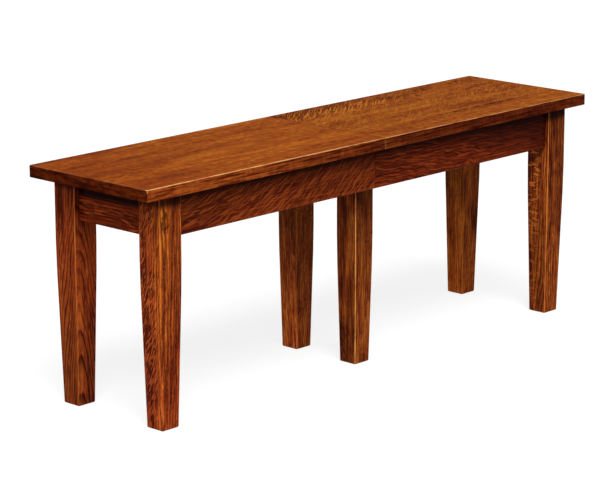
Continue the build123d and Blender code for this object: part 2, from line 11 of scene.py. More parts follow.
import bpy
import numpy as np
from mathutils import Matrix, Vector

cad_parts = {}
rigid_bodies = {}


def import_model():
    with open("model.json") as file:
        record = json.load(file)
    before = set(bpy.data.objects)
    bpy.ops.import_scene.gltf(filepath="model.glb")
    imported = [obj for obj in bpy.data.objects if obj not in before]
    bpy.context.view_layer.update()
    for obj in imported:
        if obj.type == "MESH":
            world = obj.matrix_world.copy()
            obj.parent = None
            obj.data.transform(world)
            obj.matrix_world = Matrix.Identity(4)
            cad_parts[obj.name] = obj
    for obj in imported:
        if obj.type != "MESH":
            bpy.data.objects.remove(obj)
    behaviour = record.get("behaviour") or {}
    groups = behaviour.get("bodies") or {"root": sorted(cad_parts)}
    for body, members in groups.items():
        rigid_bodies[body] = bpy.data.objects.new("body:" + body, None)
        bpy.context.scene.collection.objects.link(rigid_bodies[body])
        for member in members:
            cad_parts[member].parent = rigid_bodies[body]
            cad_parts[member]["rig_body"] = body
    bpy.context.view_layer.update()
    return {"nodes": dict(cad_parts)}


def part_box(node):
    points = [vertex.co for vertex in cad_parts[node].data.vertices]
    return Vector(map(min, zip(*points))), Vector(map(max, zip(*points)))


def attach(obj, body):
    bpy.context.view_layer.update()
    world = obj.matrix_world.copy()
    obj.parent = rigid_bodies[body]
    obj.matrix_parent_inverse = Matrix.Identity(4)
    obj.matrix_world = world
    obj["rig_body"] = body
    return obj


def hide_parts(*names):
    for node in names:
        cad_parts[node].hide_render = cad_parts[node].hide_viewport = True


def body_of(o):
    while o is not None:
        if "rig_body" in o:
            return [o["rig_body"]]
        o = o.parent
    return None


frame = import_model()
SCENE = bpy.context.scene

MM = 0.001
NIL = (0.0, 0.0, 0.0)

# Node helpers


def join(tree, node, inputs, where=None):
    """Sets a node's inputs: each is a socket to join, a number, a vector, a colour of three parts,
    or a function that makes a socket from the tree and a place."""
    for key, value in inputs.items():
        if callable(value):
            value = value(tree, where)
        if isinstance(value, bpy.types.NodeSocket):
            tree.links.new(value, node.inputs[key])
        elif node.inputs[key].type == "RGBA":
            node.inputs[key].default_value = (*value, 1.0)
        else:
            node.inputs[key].default_value = value


def put(tree, kind, inputs=None, **settings):
    """A new node with its settings and its inputs."""
    node = tree.nodes.new(kind)
    for name, value in settings.items():
        setattr(node, name, value)
    join(tree, node, inputs or {})
    return node


def maths(tree, operation, *values, clamp=False):
    """Maths on numbers, worked out by a node."""
    node = put(tree, "ShaderNodeMath", dict(enumerate(values)), operation=operation, use_clamp=clamp)
    return node.outputs[0]


def times(tree, first, *others):
    """The product of two or more values."""
    for other in others:
        first = maths(tree, "MULTIPLY", first, other)
    return first


def plus(tree, first, second):
    return maths(tree, "ADD", first, second)


def less(tree, first, second):
    return maths(tree, "SUBTRACT", first, second)


def line(tree, value, slope, start):
    """The value times a slope, and a start added."""
    return maths(tree, "MULTIPLY_ADD", value, slope, start)


def vector(tree, x=0.0, y=0.0, z=0.0):
    return put(tree, "ShaderNodeCombineXYZ", {0: x, 1: y, 2: z}).outputs[0]


def parts_of(tree, source):
    return put(tree, "ShaderNodeSeparateXYZ", {0: source}).outputs


def vectors(tree, operation, *values):
    """Maths on whole vectors, part by part."""
    return put(tree, "ShaderNodeVectorMath", dict(enumerate(values)), operation=operation).outputs[0]


def length_of(tree, source):
    return put(tree, "ShaderNodeVectorMath", {0: source}, operation="LENGTH").outputs["Value"]


def cloud(tree, source, factors=(1.0, 1.0, 1.0), detail=2.0, roughness=0.5):
    """Smooth noise between about 0.2 and 0.8, finer along an axis where its factor is larger."""
    place = vectors(tree, "MULTIPLY", source, factors)
    return put(tree, "ShaderNodeTexNoise",
               {"Vector": place, "Scale": 1.0, "Detail": detail, "Roughness": roughness}).outputs[0]


def swing(tree, source, factors, detail=2.0, roughness=0.5):
    """The same noise, to both sides of nil."""
    return less(tree, cloud(tree, source, factors, detail, roughness), 0.5)


def step(tree, value, low, high, to_low=0.0, to_high=1.0):
    """A smooth step from low to high."""
    return put(tree, "ShaderNodeMapRange", {0: value, 1: low, 2: high, 3: to_low, 4: to_high},
               interpolation_type="SMOOTHSTEP").outputs[0]


def blend(tree, factor, first, second, kind="MIX"):
    return put(tree, "ShaderNodeMix", {0: factor, 6: first, 7: second},
               data_type="RGBA", blend_type=kind, clamp_factor=True).outputs[2]


def multiplied_by(tree, factor, colour, stain):
    """The colour multiplied by another, as far as the factor says; it lays on stains and painted light
    and shade alike.
    """
    return blend(tree, factor, colour, stain, "MULTIPLY")


def embossed(tree, height, depth):
    """The normal of a skin raised by a height; depth is in millimetres."""
    return put(tree, "ShaderNodeBump",
               {"Height": height, "Distance": depth * MM, "Strength": 1.0}).outputs[0]


def object_place(tree):
    return put(tree, "ShaderNodeTexCoord").outputs["Object"]


def group(name, inputs, outputs):
    """A shader node group, its inputs and its output node. An input's first value tells its kind:
    a number, a vector of three parts or a colour of four."""
    tree = bpy.data.node_groups.new(name, "ShaderNodeTree")
    for label, value in inputs.items():
        kind = "Float" if isinstance(value, float) else {3: "Vector", 4: "Color"}[len(value)]
        socket = tree.interface.new_socket(name=label, in_out="INPUT", socket_type="NodeSocket" + kind)
        socket.default_value = value
    for label in outputs:
        kind = "Color" if label == "Color" else "Float"
        tree.interface.new_socket(name=label, in_out="OUTPUT", socket_type="NodeSocket" + kind)
    return tree, tree.nodes.new("NodeGroupInput").outputs, tree.nodes.new("NodeGroupOutput")


def use(tree, shared, inputs, where=None):
    """The outputs of a shader node group with these inputs."""
    node = put(tree, "ShaderNodeGroup", node_tree=shared)
    join(tree, node, inputs, where)
    return node.outputs


def new_material(name):
    """A material, its node tree and its shader."""
    material = bpy.data.materials.new(name)
    material.use_nodes = True
    return material, material.node_tree, material.node_tree.nodes["Principled BSDF"]


# Oak, as a solid: along the grain, outwards from the heart, and round it


def oak_figure():
    """Rings are the distance from the heart, bent by slow noise, taken modulo their spacing. Pores
    are needle-shaped noise kept in the open part of each ring. Flakes are noise drawn out along a
    slanted line and very thin round the heart, cut at a level, so that they spread on faces that
    run out from the heart and turn to fine lines on the others."""
    grey = (0.5, 0.5, 0.5, 1.0)
    tree, given, out = group("oak figure", {
        "Vector": NIL, "Seed": 0.0, "Dark": grey, "Middle": grey, "Light": grey, "Flake": grey,
        "Streaks": 1.0, "Lines": 1.0, "Mottle": 0.3, "Rings": 0.4, "Ring Spacing": 0.003,
        "Ring Edge": 1.0, "Heart": 0.06, "Heart Side": 0.0, "Lean": 0.0, "Wander": 0.006, "Pores": 0.5,
        "Flakes": 0.5, "Flake Length": 0.03, "Flake Width": 0.004, "Slope": 0.0, "Bend": 0.0,
        "Flake Level": 0.54, "Rim": 0.8, "Patches": 0.5, "Wave": 3.4,
        "Line Scale": (11.0, 210.0, 210.0), "Spot Scale": (38.0, 90.0, 90.0),
    }, ("Color", "Polish", "Height"))
    along, out_from, round_it = parts_of(tree, given["Vector"])
    place = plus(tree, along, times(tree, given["Seed"], 3.7))
    moved = vector(tree, place, out_from, round_it)

    drift = swing(tree, moved, (3.5, 16.0, 16.0))
    heart = vector(tree, 0.0, plus(tree, out_from, given["Heart"]),
                   plus(tree, round_it, given["Heart Side"]))
    far = line(tree, along, given["Lean"], length_of(tree, heart))
    far = line(tree, drift, given["Wander"], far)
    turn = maths(tree, "FRACT", maths(tree, "DIVIDE", far, given["Ring Spacing"]))
    late = times(tree, step(tree, turn, 0.3, 0.82), step(tree, turn, 0.86, 1.0, 1.0, 0.0))
    uneven = step(tree, cloud(tree, moved, (5.0, 90.0, 60.0)), 0.3, 0.6, 0.45, 1.0)
    ring = times(tree, maths(tree, "POWER", late, given["Ring Edge"]), uneven)

    needles = cloud(tree, moved, (60.0, 760.0, 760.0), 2.0, 0.6)
    pore = times(tree, step(tree, needles, 0.5, 0.62), step(tree, turn, 0.8, 0.2, 0.35, 1.0))

    wave = swing(tree, moved, (26.0, 34.0, 20.0), 1.0)
    rise = times(tree, along, line(tree, along, given["Bend"], given["Slope"]))
    over = maths(tree, "DIVIDE", less(tree, out_from, rise), given["Flake Width"])
    over = less(tree, over, times(tree, wave, given["Wave"]))
    drawn = vector(tree, maths(tree, "DIVIDE", place, given["Flake Length"]), over,
                   times(tree, round_it, 420.0))
    sheet = cloud(tree, drawn, detail=1.5)
    spread = times(tree, given["Patches"], 0.5)
    patch = step(tree, cloud(tree, moved, (7.0, 22.0, 9.0), 1.0),
                 less(tree, 0.72, spread), less(tree, 0.86, spread))
    kept = times(tree, patch, given["Flakes"])
    level = given["Flake Level"]
    bright = step(tree, sheet, level, plus(tree, level, 0.05))
    flake = times(tree, bright, kept)
    rim = times(tree, less(tree, 1.0, bright), step(tree, sheet, less(tree, level, 0.13), level))

    tone = 0.5
    for noise, share, gain in ((swing(tree, moved, (2.6, 20.0, 20.0), 3.0), "Streaks", 2.2),
                               (swing(tree, moved, given["Line Scale"], 3.0, 0.65), "Lines", 2.4),
                               (swing(tree, moved, given["Spot Scale"], 2.5, 0.6), "Mottle", 2.2)):
        tone = line(tree, noise, times(tree, given[share], gain), tone)
    shade = blend(tree, step(tree, tone, 0.45, 1.05), given["Middle"], given["Light"])
    for amount in (times(tree, step(tree, tone, 0.45, -0.1), 0.85), times(tree, ring, given["Rings"]),
                   times(tree, pore, given["Pores"])):
        shade = blend(tree, amount, shade, given["Dark"])
    shade = blend(tree, flake, shade, given["Flake"])
    shade = blend(tree, times(tree, rim, kept, given["Rim"]), shade, given["Dark"])
    low = line(tree, ring, 0.3, pore)
    join(tree, out, {"Color": shade, "Polish": less(tree, flake, pore),
                     "Height": less(tree, times(tree, bright, 0.2), low)})
    return tree


def board_edge():
    """How near a point of a board's skin is to its nearest edge. Of the three gaps between the
    point and the box's faces the smallest is nil on a face, so the middle one is the gap to the
    edge; it is the sum of the three less the smallest and the largest."""
    tree, given, out = group("board edge", {
        "Vector": NIL, "Half": NIL, "Reach": 0.002, "Seed": 0.0, "Spared": NIL,
    }, ("Edge", "Gap X", "Gap Y"))
    gap = vectors(tree, "SUBTRACT", given["Half"], vectors(tree, "ABSOLUTE", given["Vector"]))
    gaps = parts_of(tree, gap)
    x, y, z = parts_of(tree, vectors(tree, "ADD", gap, given["Spared"]))
    least = maths(tree, "MINIMUM", x, maths(tree, "MINIMUM", y, z))
    most = maths(tree, "MAXIMUM", x, maths(tree, "MAXIMUM", y, z))
    middle = less(tree, plus(tree, x, plus(tree, y, z)), plus(tree, least, most))
    enlarged = vectors(tree, "MULTIPLY", given["Vector"], (30.0, 30.0, 30.0))
    rub = cloud(tree, vectors(tree, "ADD", enlarged, given["Seed"]))
    reach = times(tree, given["Reach"], step(tree, rub, 0.3, 0.7, 0.6, 1.15))
    join(tree, out, {"Edge": step(tree, middle, times(tree, reach, 0.45), reach, 1.0, 0.0),
                     "Gap X": gaps[0], "Gap Y": gaps[1]})
    return tree


OAK = oak_figure()
EDGE = board_edge()
# Which of a node's axes run along the grain, outwards from the heart, and round it
ORDERS = {"x": (0, 1, 2), "x up": (0, 2, 1), "y up": (1, 2, 0), "z across": (2, 1, 0)}


def box_of(*nodes):
    """The middle and half the size of the box round some nodes."""
    corners = np.array([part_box(node) for node in nodes])
    low, high = corners[:, 0].min(0), corners[:, 1].max(0)
    return (low + high) / 2, (high - low) / 2


def from_centre(tree, centre):
    """Object coordinates counted from the middle of a board."""
    return vectors(tree, "ADD", object_place(tree), tuple(-centre))


def leg_half(tree, z, width, foot, knee, bend, base):
    """Half the leg's width at a height: the least of three straight lines, the taper, its bend and
    the straight top, because the outline only ever turns inwards."""
    slope = (width - foot) / knee
    up = plus(tree, z, base)
    taper = line(tree, up, slope / 2, foot / 2)
    turn = line(tree, up, slope / 4, width / 2 - slope / 4 * (knee + bend / 2))
    return maths(tree, "MINIMUM", width / 2, maths(tree, "MINIMUM", taper, turn))


def dress(node, material):
    """Gives a node its finish through its material slots."""
    for place in frame["nodes"][node].material_slots:
        place.material = material


def finish_wood(node, order, figure, edge, leg=None, gloss=0.3, rough=0.4, coat=0.04, bump=0.12,
                spared=NIL, extra=None, box=None, faces=(), shade=None):
    """One board's own finish, on its own node: figure, edges lightened by wear and a painted highlight,
    lacquered edges and its sheen. The edges are those of box, where the board is one of several glued
    up, and spared adds a length to the board where its ends are hidden. leg holds the sizes of a leg;
    shade holds the two heights in millimetres between which a painted shade under the overhang of
    the top comes in, and its colour."""
    material, tree, shader = new_material(node.replace("_", " "))
    centre, half = box_of(node)
    own = parts_of(tree, from_centre(tree, centre))
    board = vector(tree, *(own[axis] for axis in ORDERS[order]))
    oak = use(tree, OAK, {"Vector": board, **figure}, own)
    centre, half = box or (centre, half)
    where = from_centre(tree, centre)
    whole = parts_of(tree, where)
    colour = extra(tree, whole, oak["Color"]) if extra else oak["Color"]
    # Painted shade: the colour darkens upwards between two heights, under the overhang of the top.
    if shade:
        low, high, painted_shade_colour = shade
        colour = multiplied_by(tree, step(tree, whole[2], low * MM, high * MM), colour, painted_shade_colour)
    size = tuple(half)
    if leg:
        side = leg_half(tree, whole[2], *leg, base=size[2])
        size = vector(tree, side, side, size[2])
    rim = use(tree, EDGE, {"Vector": where, "Half": size, "Reach": edge["reach"], "Seed": figure["Seed"],
                           "Spared": spared})
    for label, stain in faces:
        on_face = step(tree, rim[label], 0.2 * MM, 1.2 * MM, 1.0, 0.0)
        colour = multiplied_by(tree, on_face, colour, stain(tree, whole))
    amount = edge["amount"](tree, whole) if callable(edge["amount"]) else edge["amount"]
    # The edge colour is partly wear and partly a painted highlight where the eased edges catch the light.
    wear_and_highlight = times(tree, rim["Edge"], amount)
    colour = blend(tree, wear_and_highlight, colour, edge["colour"])
    join(tree, shader, {"Base Color": colour, "Specular IOR Level": 0.0,
                        "Roughness": line(tree, oak["Polish"], -0.08, rough),
                        "Coat Weight": line(tree, wear_and_highlight, gloss, coat), "Coat Roughness": 0.22,
                        "Normal": embossed(tree, oak["Height"], bump)})
    dress(node, material)


# Stain colours: dark, middle and light wood, and the flakes
STAIN = ("Dark", "Middle", "Light", "Flake")
TOP_STAIN = ((0.15, 0.025, 0.0034), (0.31, 0.068, 0.007),
             (0.45, 0.124, 0.011), (0.48, 0.15, 0.016))
LEG_STAIN = ((0.06, 0.0055, 0.0026), (0.3, 0.046, 0.0105),
             (0.52, 0.105, 0.021), (0.55, 0.115, 0.026))
APRON_STAIN = ((0.052, 0.005, 0.0018), (0.165, 0.021, 0.0048),
               (0.27, 0.04, 0.0085), (0.42, 0.076, 0.016))


def stained(colours, tint=(1.0, 1.0, 1.0)):
    """The stain's colours; all but the dark one are multiplied by a tint."""
    tints = (np.ones(3), *3 * [np.array(tint)])
    return {label: tuple((np.array(colour) * by).tolist())
            for label, colour, by in zip(STAIN, colours, tints)}


def fade(axis, low, high, start, end):
    """An input that changes along one axis of the board, from one value to another."""
    return lambda tree, where: step(tree, where[axis], low, high, start, end)


# Top
def back_band(tree, where):
    """The flakes of the back board fade to the right and to the front."""
    return times(tree, step(tree, where[0], -0.16, 0.12, 1.0, 0.2), step(tree, where[1], -0.075, 0.01))


# The quiet figure of the left half
even = {"Flakes": 0.25, "Patches": 0.3, "Mottle": 0.75, "Spot Scale": (95.0, 85.0, 62.0)}
tops = {
    "left_top_front_board": {"Seed": 1.3, "Slope": 0.3, **even, **stained(TOP_STAIN, (1.0, 0.99, 0.93))},
    "left_top_back_board": {"Seed": 2.9, "Slope": -0.3, **even},
    "right_top_front_board": {"Seed": 4.4, "Flakes": 0.3, "Slope": 0.2, "Patches": 0.4,
                              **stained(TOP_STAIN, (1.0, 1.06, 1.0))},
    "right_top_middle_board": {"Seed": 5.2, "Flakes": fade(1, 0.0, 0.055, 0.25, 0.55), "Slope": 0.75,
                               "Patches": 0.9, "Flake Length": 0.055, "Flake Width": 0.004, "Wave": 2.6,
                               **stained(TOP_STAIN, (1.0, 1.1, 1.05))},
    "right_top_back_board": {"Seed": 6.6, "Flakes": back_band, "Slope": 0.75, "Patches": 1.0,
                             "Flake Length": 0.055, "Flake Width": 0.0038, "Flake Level": 0.52,
                             "Rim": 1.0, "Wave": 3.0, **stained(TOP_STAIN, (1.0, 1.02, 1.0)),
                             "Dark": (0.072, 0.011, 0.002), "Flake": (0.51, 0.158, 0.017)},
}
# The top's box, and places counted from its middle: its front, the dark streak of the left half and
# the glue line near the front
TOP_BOX = box_of(*tops)
FRONT = -TOP_BOX[1][1]
STREAK_LINE = 0.008
GLUE_LINE = -0.082
# How much the other upper edges get of the wear and painted highlight, against 0.95 at the front left
WEAR_AND_HIGHLIGHT_SHARE = 0.12


def top_wear_and_highlight(tree, where):
    """Wear with a painted highlight on the top's upper edges: most on the upper front edge, less to its
    right, little on the other upper edges, none below.
    """
    front = step(tree, where[1], FRONT + 8 * MM, FRONT + 3 * MM)
    along = step(tree, where[0], -0.6, 0.5, 0.95, 0.4)
    share = plus(tree, times(tree, front, less(tree, along, WEAR_AND_HIGHLIGHT_SHARE)), WEAR_AND_HIGHLIGHT_SHARE)
    return times(tree, share, step(tree, where[2], 3 * MM, 10 * MM))


def front_stain(tree, where):
    """The front edge of the top gets darker and redder to the right."""
    stain = blend(tree, step(tree, where[0], -0.55, 0.15), (1.45, 1.36, 2.2), (0.49, 0.31, 0.66))
    lines = cloud(tree, vector(tree, *where), (13.0, 1.0, 300.0), 3.0, 0.6)
    return multiplied_by(tree, step(tree, lines, 0.42, 0.62), stain, (0.34, 0.2, 0.24))


def end_stain(tree, where):
    """The ends of the top take the stain deepest, in short level bands."""
    bands = cloud(tree, vector(tree, *where), (1.0, 22.0, 130.0), 3.0, 0.6)
    return blend(tree, step(tree, bands, 0.4, 0.62), (0.56, 0.4, 0.52), (0.19, 0.11, 0.18))


def top_streaks(tree, where, colour):
    """A broad dark streak along the middle of the left half, dark wood along the right back edge and
    at the left end, a dark glue line near the front of the right half, and the split, dark above
    and with a painted highlight on the front edge, where its eased arrises catch the light."""
    x, y = where[:2]
    bent = swing(tree, vector(tree, *where), (5.0, 14.0, 14.0))
    across = maths(tree, "ABSOLUTE", less(tree, line(tree, bent, 0.09, y), STREAK_LINE))
    middle = times(tree, step(tree, across, 0.034, 0.006), step(tree, x, 0.1, -0.25, 0.25, 1.0), 0.75)
    colour = multiplied_by(tree, middle, colour, (0.7, 0.6, 0.62))

    on_right = times(tree, step(tree, x, -2 * MM, 2 * MM), step(tree, x, 0.3, 0.5, 1.0, 0.35))
    back = times(tree, step(tree, line(tree, bent, 0.08, y), 0.08, 0.15), on_right, 0.8)
    colour = multiplied_by(tree, back, colour, (0.62, 0.52, 0.52))
    colour = multiplied_by(tree, step(tree, x, -0.35, -0.6), colour, (0.86, 0.74, 0.8))

    glue = maths(tree, "ABSOLUTE", plus(tree, y, line(tree, bent, 0.006, -GLUE_LINE)))
    run = times(tree, step(tree, x, 0.13, 0.28), step(tree, x, 0.42, 0.57, 1.0, 0.3))
    broken = step(tree, cloud(tree, vector(tree, *where), (55.0, 60.0, 60.0), 1.0), 0.38, 0.55, 0.2, 1.0)
    glue = times(tree, step(tree, glue, 8.5 * MM, 3.0 * MM), run, broken)
    colour = multiplied_by(tree, glue, colour, (0.36, 0.25, 0.22))

    split = step(tree, maths(tree, "ABSOLUTE", x), 1.9 * MM, 0.9 * MM)
    colour = multiplied_by(tree, times(tree, split, 0.5), colour, (0.45, 0.38, 0.38))
    # Painted highlight: a pale line where the split meets the front edge.
    front = times(tree, split, step(tree, y, FRONT + 1.5 * MM, FRONT + 0.5 * MM), 0.8)
    return blend(tree, front, colour, (0.5, 0.24, 0.06))


for node, own in tops.items():
    figure = {"Rings": 0.25, "Ring Spacing": 0.0042, "Heart": 0.09, "Wander": 0.02, "Pores": 0.6,
              "Streaks": 0.8, "Lines": 0.85, "Mottle": 0.95, "Line Scale": (11.0, 75.0, 230.0),
              "Spot Scale": (150.0, 62.0, 62.0), "Flake Width": 0.005, "Flake Length": 0.04,
              **stained(TOP_STAIN), **own}
    # The pale orange of the upper edges is wear with a painted highlight, brightest at the front left.
    edge = dict(colour=(0.8, 0.4, 0.15), reach=1.9 * MM, amount=top_wear_and_highlight)
    finish_wood(node, "x", figure, edge, rough=0.42, coat=0.02, gloss=0.15, bump=0.06, box=TOP_BOX,
                faces=(("Gap X", end_stain), ("Gap Y", front_stain)), extra=top_streaks)

# Aprons and end rails
wide_flakes = {"Flakes": 0.7, "Flake Width": 0.0045, "Flake Length": 0.03, "Patches": 0.7}
aprons = {
    "left_front_apron": {"Seed": 11.2, "Flakes": 0.55, "Flake Width": 0.0034, "Flake Length": 0.04,
                         "Slope": 0.55, "Bend": 0.7, "Patches": 0.95, "Flake Level": 0.51, "Rim": 0.9,
                         "Wave": 5.2, "Lines": 1.5, **stained(APRON_STAIN, (1.22, 1.28, 1.05))},
    "right_front_apron": {"Seed": 12.7, "Flakes": fade(0, -0.05, 0.15, 0.5, 0.18), "Flake Width": 0.0036,
                          "Flake Length": 0.05, "Slope": -0.12, "Patches": 0.9,
                          "Flake Level": 0.53, "Wave": 4.2, "Rings": 0.8, "Lines": 1.6,
                          **stained(APRON_STAIN, (1.14, 1.0, 0.88))},
    "left_back_apron": {"Seed": 13.9, "Slope": -0.5, **wide_flakes},
    "right_back_apron": {"Seed": 14.1, "Slope": 0.5, **wide_flakes},
    "left_end_rail": {"Seed": 15.5, "Flakes": 0.45, "Flake Width": 0.0042, "Flake Length": 0.04,
                      "Slope": 0.1, "Patches": 0.7, "Rings": 0.9, "Ring Spacing": 0.0072,
                      **stained(APRON_STAIN, (2.36, 2.18, 1.7))},
    "right_end_rail": {"Seed": 16.8, "Flakes": 0.6, "Flake Width": 0.003, "Flake Length": 0.04,
                       "Slope": 0.1, "Patches": 0.5},
}


def dark_end_and_shade(tree, where, colour):
    """The right front apron gets darker to its right end and, as a painted shade under the overhang
    of the top, towards its top.
    """
    share = plus(tree, times(tree, where[0], 2.6), times(tree, where[2], 9.0))
    return multiplied_by(tree, step(tree, share, -0.1, 0.75), colour, (0.42, 0.36, 0.44))


for node, own in aprons.items():
    figure = {"Rings": 0.6, "Ring Spacing": 0.0062, "Heart": 0.07, "Wander": 0.03, "Pores": 0.5,
              "Streaks": 0.9, "Lines": 1.2, "Mottle": 0.35, **stained(APRON_STAIN), **own}
    edge = dict(colour=(0.3, 0.08, 0.016), reach=1.5 * MM, amount=0.4)
    rail = "rail" in node
    # The shade here is painted shade under the overhang of the top: a deep band at the top of the end
    # rails and a lighter one at the top of the aprons.
    finish_wood(node, "y up" if rail else "x up", figure, edge,
                extra=dark_end_and_shade if node == "right_front_apron" else None,
                spared=(0.0, 1.0, 0.0) if rail else (1.0, 0.0, 0.0),
                shade=(-1, 15, (0.04, 0.03, 0.03)) if rail else (16, 31, (0.2, 0.15, 0.16)))

# Legs: width at the top, width at the foot, height of the bend and how far it is eased
CORNER_LEG = (54 * MM, 41 * MM, 282 * MM, 60 * MM)
MIDDLE_LEG = (50.4 * MM, 40.4 * MM, 228 * MM, 60 * MM)
# The knot's place, counted from the middle of the leg, and how much each way from it counts
KNOT = (-0.0137, -0.027, 0.168)
KNOT_FACTORS = (1.0, 1.0, 0.42)
BRIGHTEST = (0.95, 0.95, 0.95)


def leg_light_and_shade(left, front):
    """Painted light and shade on a leg: its left side and its other three are each multiplied by one
    number at the foot and another at the top, eased between."""
    def change(tree, where, colour):
        on_left, elsewhere = [step(tree, where[2], -0.16, 0.17, *ends) for ends in (left, front)]
        is_left = step(tree, plus(tree, where[0], maths(tree, "ABSOLUTE", where[1])), 2 * MM, -2 * MM)
        more = times(tree, less(tree, 1.0, is_left), less(tree, elsewhere, on_left))
        tinted = vectors(tree, "MULTIPLY", colour, plus(tree, on_left, more))
        return vectors(tree, "MINIMUM", tinted, BRIGHTEST)
    return change


def knot_and_highlight(tree, where, colour):
    """The front left leg: a painted highlight along its outer corner, painted light and shade on its
    sides, darker towards its foot, and a small dark knot on its front.
    """
    x, y, z = where
    # Painted highlight: lighter and more golden near the outer corner, most at the top.
    corner = times(tree, step(tree, y, 0.002, -0.02), step(tree, z, -0.2, 0.12, 0.6, 1.0))
    corner = times(tree, corner, step(tree, x, 0.012, -0.012, 0.3, 1.0))
    colour = multiplied_by(tree, corner, colour, (1.62, 2.15, 1.5))
    colour = leg_light_and_shade((1.21, 1.44), (1.18, 0.88))(tree, where, colour)
    colour = multiplied_by(tree, step(tree, z, 0.06, -0.16), colour, (0.92, 0.79, 0.93))
    place = vector(tree, *where)
    bent = swing(tree, place, (210.0, 210.0, 120.0))
    from_knot = vectors(tree, "MULTIPLY", vectors(tree, "SUBTRACT", place, KNOT), KNOT_FACTORS)
    far = line(tree, bent, 0.012, length_of(tree, from_knot))
    ring = times(tree, step(tree, far, 2.8 * MM, 4.4 * MM), step(tree, far, 10.0 * MM, 7.2 * MM))
    heart = step(tree, far, 3.4 * MM, 1.2 * MM)
    dark = maths(tree, "MAXIMUM", ring, times(tree, heart, 0.6))
    return blend(tree, times(tree, dark, 0.78), colour, (0.055, 0.006, 0.002))


def high_strip(tree, where):
    """The right front leg shows flakes on the half of its left side away from the corner, most at
    the top."""
    return times(tree, step(tree, where[1], -0.008, 0.002, 0.05, 0.95),
                 step(tree, where[2], -0.12, 0.16, 0.25, 1.0))


# The figure that three of the legs share
cloudy = {"Mottle": 1.0, "Spot Scale": (17.0, 48.0, 48.0), "Streaks": 1.0, "Rings": 0.65}
# For each leg: its figure, the wear and painted highlight of its edges, the tint of its stain, and its
# painted light and shade with anything else that changes its colour
legs = {
    "left_front_leg": ({"Seed": 21.1, "Flakes": fade(1, -0.018, -0.006, 0.1, 0.5), "Slope": -0.42,
                        "Patches": 1.0, "Flake Width": 0.0027, "Flake Length": 0.017, "Flake Level": 0.51,
                        "Rim": 0.7, "Lean": 0.02, "Streaks": 1.3, "Mottle": 0.8,
                        "Spot Scale": (13.0, 60.0, 60.0), "Rings": 1.0, "Ring Spacing": 0.0062},
                       fade(2, -0.12, 0.14, 0.06, 0.36), (1.37, 1.36, 1.1), knot_and_highlight),
    "left_back_leg": ({"Seed": 22.4, "Flakes": 0.25, "Slope": 0.3, "Patches": 0.4, "Rings": 1.0,
                       "Pores": 0.5, "Lines": 0.8, "Ring Spacing": 0.0068, "Ring Edge": 2.0, "Lean": 0.16,
                       "Streaks": 1.1, "Heart": 0.05, "Heart Side": 0.018, "Wander": 0.04},
                      fade(2, -0.1, 0.12, 0.15, 0.75), (1.36, 1.38, 1.15),
                      leg_light_and_shade((0.58, 1.4), (0.74, 1.42))),
    "middle_front_leg": ({"Seed": 23.8, "Flakes": 0.3, "Slope": 0.2, "Patches": 0.4, **cloudy},
                         0.9, (0.97, 1.22, 0.9), leg_light_and_shade((0.9, 1.38), (1.15, 0.64))),
    "middle_back_leg": ({"Seed": 24.2, "Flakes": 0.5, "Slope": 0.2, "Patches": 0.6, "Lean": -0.08,
                         **cloudy}, 0.28, (1.19, 1.42, 1.15), leg_light_and_shade((2.2, 0.46), (0.96, 1.04))),
    "right_front_leg": ({"Seed": 25.9, "Flakes": high_strip, "Patches": 0.85,
                         "Flake Width": 0.022, "Flake Length": 0.0064, "Flake Level": 0.525, "Wave": 1.5,
                         "Lean": 0.06, "Streaks": 1.1, "Mottle": 0.7},
                        0.7, (1.26, 1.58, 1.15), leg_light_and_shade((0.95, 1.48), (1.07, 0.76))),
    "right_back_leg": ({"Seed": 26.3, "Flakes": 0.4, "Slope": 0.2, "Patches": 0.4, **cloudy,
                        "Lines": 0.9}, 0.5, (1.48, 1.88, 1.25), leg_light_and_shade((1.5, 0.24), (1.02, 0.95))),
}
for node, (own, wear_and_highlight, tint, extra) in legs.items():
    figure = {"Rings": 0.9, "Ring Spacing": 0.0054, "Heart": 0.045, "Heart Side": 0.035, "Wander": 0.036,
              "Pores": 0.75, "Streaks": 0.8, "Lines": 1.3, "Mottle": 0.45, "Flake Width": 0.003,
              "Flake Length": 0.02, **stained(LEG_STAIN, tint), **own}
    # The golden edge lines of the legs are wear with a painted highlight.
    edge = dict(colour=(0.95, 0.39, 0.085) if node == "middle_front_leg" else (0.95, 0.27, 0.04),
                reach=2.2 * MM, amount=wear_and_highlight)
    # The shade here is painted shade at the top of each leg, under the overhang of the top.
    finish_wood(node, "z across", figure, edge, rough=0.38, gloss=0.03, extra=extra,
                leg=MIDDLE_LEG if "middle" in node else CORNER_LEG, shade=(188, 205, (0.16, 0.12, 0.13)))


# Inner hardwood: runners, rails, bearers, braces, pegs and dowels
BARE = ((0.3, 0.17, 0.08), (0.5, 0.33, 0.175), (0.63, 0.46, 0.275), (0.66, 0.5, 0.32))
FIRST_SEED, NEXT_SEED = 31.0, 1.7
# How the grain runs, by how many degrees the board lies askew, and the nodes
inner = (
    ("x up", 0.0, ("centre_front_rail", "centre_back_rail")),
    ("y up", 0.0, ("left_bearer", "right_bearer", "latch_base")),
    ("x up", 0.0, ("left_front_runner", "left_back_runner", "right_front_runner", "right_back_runner")),
    ("x up", 45.0, ("left_front_brace",)),
    ("x up", -45.0, ("left_back_brace", "right_front_brace")),
    ("x up", 45.0, ("right_back_brace",)),
    ("z across", 0.0, ("left_stop_pegs", "right_stop_pegs")),
    ("x", 0.0, ("alignment_dowels",)),
)


